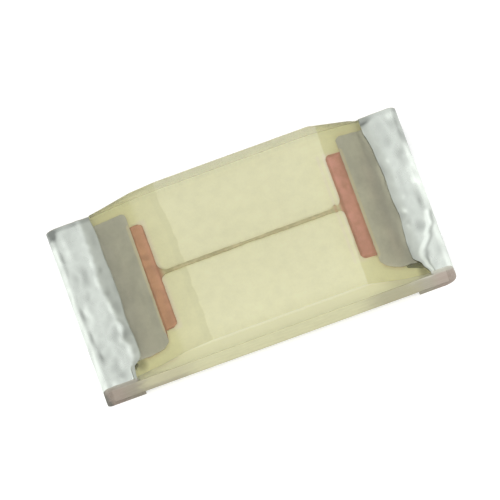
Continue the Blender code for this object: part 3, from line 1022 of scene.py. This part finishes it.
def tin_form(side, co):
    """How far a point stands proud in thousandths of a millimetre, its painted light and shade, and how thin.
    """
    x, y, z = co / MM
    from_end = HALF_LENGTH / MM - side * x
    seed = 11.0 * side
    swell = SWELL * noise.noise(Vector((x + seed, y * 0.6, z)) / SWELL_SIZE)
    crumple = CRUMPLE * creases(Vector((x, y * 0.6, z + seed)), CRUMPLE_SIZE)
    height = swell + crumple
    # The tone is painted light and shade that follows the relief: crests lighter, hollows darker.
    painted_shading = swell + 2.0 * crumple
    thin = 0.0
    if z > TOP_FROM:
        dents = dents_at(side, x, y)
        height += dents
        painted_shading += 1.3 * dents
        past = from_end - between(THICK_ENDS[side], y) + 0.008 * noise.noise(Vector((y / 0.05, seed, 0)))
        thin = 1 / (1 + math.exp(-past / THICK_END_SOFT[side]))
        crest = CREST[side] * bell(past + 0.020, 0.020)
        height += crest - THIN_DROP * thin
        # The plating's crest is also painted lighter, and the back edge painted darker.
        painted_shading += crest
        painted_shading -= BACK_SHADE[side] * step(y, 0.745, 0.775)
    if side == LEFT and z > TOP_FROM:
        off_crease = from_end - between(CREASE, y) - 0.006 * noise.noise(Vector((y / 0.06, 0, 9.0)))
        crease = CREASE_DEPTH * bell(off_crease, 0.020)
        height -= crease
        # The crease is painted darker as well as sunk.
        painted_shading -= crease
    if side == RIGHT:
        # Painted shade on the right cap: over the back of its end and along its inner edge.
        painted_shading -= 4.0 * step(y, 0.38, 0.50) * step(from_end, 0.060, 0.030)
        painted_shading -= 3.0 * bell(x - 1.305, 0.030) * step(z, TOP_FROM, 0.33)
        folded = step(y, -0.20, -0.26) * step(z, 0.20, 0.26)
        offset = 0.85 * (x - between(FOLD, y))
        rise = 6.0 * bell(offset, 0.018) - 3.0 * bell(offset - 0.036, 0.012)
        height += folded * (rise - 5.0 * step(offset, 0.03, 0.12))
        # A painted highlight along the fold's ridge, with painted shade just past it.
        fold_highlight = 16.0 * bell(offset, 0.017) - 6.0 * bell(offset - 0.036, 0.013)
        painted_shading += folded * (fold_highlight + 1.5 * step(offset, 0.045, 0.065))
    # Painted light and shade become a gain on the tin's colour, held between DARKEST and LIGHTEST.
    painted_light = max(DARKEST, min(LIGHTEST, 1 + (PER_RISE if painted_shading > 0 else PER_FALL) * painted_shading))
    # A painted highlight on the rounded ends, left off the back corners and halved over the right cap's fold.
    if side == LEFT:
        end_highlight_share = step(y, 0.66, 0.60)
    else:
        end_highlight_share = step(y, 0.50, 0.40) * (1 - 0.5 * step(y, -0.22, -0.28))
    painted_light *= 1 + END_HIGHLIGHT * end_highlight_share * step(from_end, 0.075, 0.0)
    return height, SIDE_GAIN[side] * painted_light, thin * THIN_SHARE[side]


# %% Tin finish
TIN_COLOUR = (0.604, 0.644, 0.597)
TIN_THIN_COLOUR = (0.418, 0.444, 0.396)
tin_finish, tree, shader, place = new_material("crumpled_tin")
painted_light = node(tree, "ShaderNodeAttribute", attribute_name="painted_light").outputs["Fac"]
thin = node(tree, "ShaderNodeAttribute", attribute_name="thin").outputs["Fac"]
mottle = cloud(stretched(place, 1.0, 2.0, 1.0), 0.05 * MM, 4.0, 0.6)
# The colour is scaled by painted light and shade from the attribute: lighter on crests, the fold and the ends,
# darker in hollows and the crease.
face = scaled(mix(thin, TIN_COLOUR, TIN_THIN_COLOUR), painted_light)
height = colour_surface(shader, place, face, 0.020 * MM, 0.09, 0.6 * MM)
rough = nudged(ramp(mottle, 0.3, 0.7, 0.24, 0.38), thin, 0.12)
fill(shader, {"Metallic": 1.0, "Roughness": rough})
bump(shader, height, 0.0010 * MM, 0.7)
tell("tin finish:", tree)

# %% Tin caps
TIN_SWEEP_STEPS, TIN_SECTION_STEP = 160, 0.010 * MM
TIN_TOP = tin_high.z
TIN_WALLS = (TIN_TOP - COPPER_TOP - SEAM, COPPER_INSET - SEAM, copper_low.z - SEAM)
TIN_TOP_RADIUS = 0.070 * MM
TIN_TIP_RADIUS = 0.002 * MM
TIN_LAND_RADIUS = {LEFT: 0.040 * MM, RIGHT: 0.120 * MM}
KEEP_IN = 0.001
NEAR_LIMIT = 0.02 * MM


def make_tin(side):
    outer_radii = (TIN_TOP_RADIUS, TIN_LAND_RADIUS[side])
    inner_radii = (COPPER_TOP_RADIUS + SEAM, COPPER_LAND_RADIUS[side] + SEAM)
    corners = wrap_corners(side, 0, TIN_WALLS, (TIN_TOP, 0), outer_radii, inner_radii, TIN_TIP_RADIUS)
    row = section(corners, TIN_SECTION_STEP, 4)
    shape, outer_layer = sweep(row, -HALF_WIDTH, HALF_WIDTH, TIN_SWEEP_STEPS)
    painted_light_layer = shape.verts.layers.float.new("painted_light")
    thin_layer = shape.verts.layers.float.new("thin")
    shape.normal_update()
    moves = []
    for vert in shape.verts:
        vert[painted_light_layer] = SIDE_GAIN[side]
        if vert[outer_layer] < 0.5:
            continue
        height, vert[painted_light_layer], vert[thin_layer] = tin_form(side, vert.co)
        facing = Vector((vert.normal.x, 0, vert.normal.z)).normalized()
        if abs(vert.co.x - BAND_EDGE[side]) < 2 * TIN_TIP_RADIUS:
            # The inner edge only sinks, so that its wall stays upright.
            facing = Vector((0, 0, 1))
        if HALF_LENGTH - abs(vert.co.x) < NEAR_LIMIT or vert.co.z < NEAR_LIMIT:
            height = min(height, 0.0) - KEEP_IN
        moves.append((vert, facing * height * MM / 1000))
    for vert, move in moves:
        vert.co += move
        vert.co.x = max(-HALF_LENGTH, min(HALF_LENGTH, vert.co.x))
        vert.co.z = max(0.0, vert.co.z)
    for vert in shape.verts:
        follow_edge(side, vert, laminate_high.z)
    name = SIDE_NAMES[side]
    finish_piece(shape, "crumpled_tin_" + name, tin_finish, ["end_tin_" + name], sharp=50)


for side in (LEFT, RIGHT):
    make_tin(side)

# %% [markdown]
# ## The clear resin
# The cover is cast over the element, so in the real part there is no air under it: copper and film lie in
# it, and it wets the laminate. Air under it would mirror light at its underside and spoil the look, so the
# fine mesh dips a hair into the laminate's top, closes round the foil and laps a hair into the tin. A cube
# with sloped ends could stand for it, but its two slopes differ, and a row of corners says each of them
# plainly. Its flat is paler and its slopes darker and yellower, and its sawn sides are rough.

# %% Resin finish
FLAT_COLOUR = (1.000, 0.992, 0.890)
SHOULDER_COLOUR = (0.870, 0.855, 0.704)
SLOPE_COLOUR = (0.745, 0.728, 0.485)
BREAK_COLOUR = (0.800, 0.792, 0.645)
BACK_BAND_SHADE_COLOUR = (0.895, 0.900, 0.895)
BACK_RIM_SHADE_COLOUR = (0.560, 0.570, 0.430)
SAWN_COLOUR = (0.900, 0.890, 0.725)
DRAGGED_COLOUR = (0.640, 0.620, 0.500)
SAWN_ROUGHNESS = (0.45, 0.45, 0.45)
FLAT_FROM, FLAT_TO = -0.556 * MM, 0.876 * MM
FLAT_SOFT = 0.008 * MM
SHOULDER_FROM = -0.811 * MM
resin_finish, tree, shader, place = new_material("clear_resin")
x, y, z = split(place)
wander = minus(cloud(stretched(place, 1.0, 1.0, 0.5), 0.11 * MM, 2.0), 0.5)
from_flat = nudged(x, wander, 0.045 * MM)
from_flat = maths("ADD", from_flat, ramp(y, 0.30 * MM, 0.62 * MM, 0.0, 0.030 * MM))
to_flat = nudged(nudged(x, wander, 0.020 * MM), y, -0.026)
flat = ramp(from_flat, FLAT_FROM - FLAT_SOFT, FLAT_FROM + FLAT_SOFT)
flat = times(flat, ramp(to_flat, FLAT_TO + FLAT_SOFT, FLAT_TO - FLAT_SOFT))
shoulder = ramp(x, SHOULDER_FROM - 0.05 * MM, SHOULDER_FROM + 0.03 * MM)
shoulder = times(shoulder, ramp(x, 0.1 * MM, 0.0))
to_break = size_of(minus(from_flat, FLAT_FROM - 0.034 * MM))
# Painted shade along the back: a dark rim on the slopes and shoulder, and a grayer band on the flat.
back_rim_shade = ramp(nudged(y, wander, 0.03 * MM), 0.745 * MM, 0.785 * MM, 0.0, 0.8)
back_band_shade = ramp(nudged(y, wander, 0.05 * MM), 0.69 * MM, 0.75 * MM)
sawn = ramp(inward(HALF_WIDTH, y), 0.006 * MM, 0.003 * MM)
high_up = nudged(z, wander, 0.060 * MM)
high_up = ramp(high_up, cover_high.z - 0.060 * MM, cover_high.z - 0.040 * MM)
drag = ramp(nudged(inward(HALF_LENGTH, x), wander, 0.10 * MM), 0.68 * MM, 0.46 * MM, 0.0, 0.9)
face = painted(
    SLOPE_COLOUR,
    (shoulder, SHOULDER_COLOUR),
    (ramp(to_break, 0.040 * MM, 0.020 * MM, 0.0, 0.8), BREAK_COLOUR),
    (back_rim_shade, BACK_RIM_SHADE_COLOUR),
    (flat, mix(back_band_shade, FLAT_COLOUR, BACK_BAND_SHADE_COLOUR)),
    (sawn, painted(SAWN_COLOUR, (high_up, FLAT_COLOUR), (drag, DRAGGED_COLOUR))),
)
polish = ramp(cloud(place, 0.10 * MM, 2.0), 0.3, 0.7, 0.05, 0.11)
fill(shader, {
    "Base Color": face,
    "Roughness": mix(sawn, polish, SAWN_ROUGHNESS),
    "IOR": 1.5,
    "Transmission Weight": 1.0,
})
saw_marks = cloud(stretched(place, 5.0, 1.0, 0.7), 0.02 * MM, 3.0)
soft_height = nudged(times(sawn, saw_marks), cloud(place, 0.09 * MM, 2.0), 0.15)
bump(shader, soft_height, 0.002 * MM, 0.5)
tell("resin finish:", tree)

# %% Resin
COVER_STEP = 0.012 * MM
WET = 0.003 * MM
TONGUE = 0.115 * MM
TONGUE_TOP = COPPER_TOP + 0.0022 * MM
LEFT_EDGE_TOP = laminate_high.z + 0.080 * MM
LEFT_SLOPE = 0.365 * MM
SHOULDER = 0.255 * MM
SHOULDER_DROP = 0.038 * MM
RIGHT_SLOPE = 0.445 * MM
FOOT = 0.036 * MM
FOOT_TOP = laminate_high.z + 0.050 * MM
COVER_INSET = 0.0028 * MM
RIM_ROUND = 0.004 * MM
RESIN_WAVE = 0.0016 * MM
WAVE_FROM = TONGUE_TOP + 0.006 * MM
COVER_SWEEP_STEPS = 110
LAP = 0.010 * MM
left_end, right_end = cover_low.x - LAP, cover_high.x + LAP
cover_floor = laminate_high.z - WET
shoulder_x = cover_low.x + LEFT_SLOPE
cover_corners = [
    (cover_low.x - TONGUE, cover_floor, 0),
    (cover_high.x + TONGUE, cover_floor, 0),
    (cover_high.x + TONGUE, TONGUE_TOP, 0.002 * MM),
    (right_end, TONGUE_TOP, 0),
    (right_end, FOOT_TOP, 0.002 * MM),
    (cover_high.x - FOOT, FOOT_TOP, 0.030 * MM),
    (cover_high.x - FOOT - RIGHT_SLOPE, cover_high.z, 0.045 * MM),
    (shoulder_x + SHOULDER, cover_high.z, 0.300 * MM),
    (shoulder_x, cover_high.z - SHOULDER_DROP, 0.300 * MM),
    (left_end, LEFT_EDGE_TOP, 0.012 * MM),
    (left_end, TONGUE_TOP, 0),
    (cover_low.x - TONGUE, TONGUE_TOP, 0.002 * MM),
]
cover_row = section(cover_corners, COVER_STEP, 0)
cut_y = HALF_WIDTH - COVER_INSET
resin, _ = sweep(cover_row, -cut_y, cut_y, COVER_SWEEP_STEPS)
rims = [
    e for e in resin.edges
    if min(abs(v.co.y) for v in e.verts) > HALF_WIDTH - 2 * COVER_INSET
    and min(v.co.z for v in e.verts) > TONGUE_TOP
]
bmesh.ops.bevel(resin, geom=rims, offset=RIM_ROUND, segments=3, profile=0.5, affect="EDGES", material=-1)
for vert in resin.verts:
    for side in (LEFT, RIGHT):
        follow_edge(side, vert, TONGUE_TOP - SEAM)
    if vert.co.z > WAVE_FROM:
        wave = noise.noise(vert.co / (0.21 * MM)) + 0.4 * noise.noise(vert.co / (0.08 * MM))
        vert.co.z = min(cover_high.z, vert.co.z - (0.5 + 0.5 * wave) * RESIN_WAVE)
bmesh.ops.recalc_face_normals(resin, faces=resin.faces)
finish_piece(resin, "clear_resin_cover", resin_finish, ["clear_cover"], sharp=20)

# %% [markdown]
# ## Check the box and end
# The dressed part has to stay in the solids' box. How far the dressed box differs from the solids' box is
# printed.

# %% Sizes
low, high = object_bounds()
differences = [a - b for a, b in zip([*low, *high], [*cad_low, *cad_high])]
print("box differs by", [round(difference / MM, 4) for difference in differences], "mm")
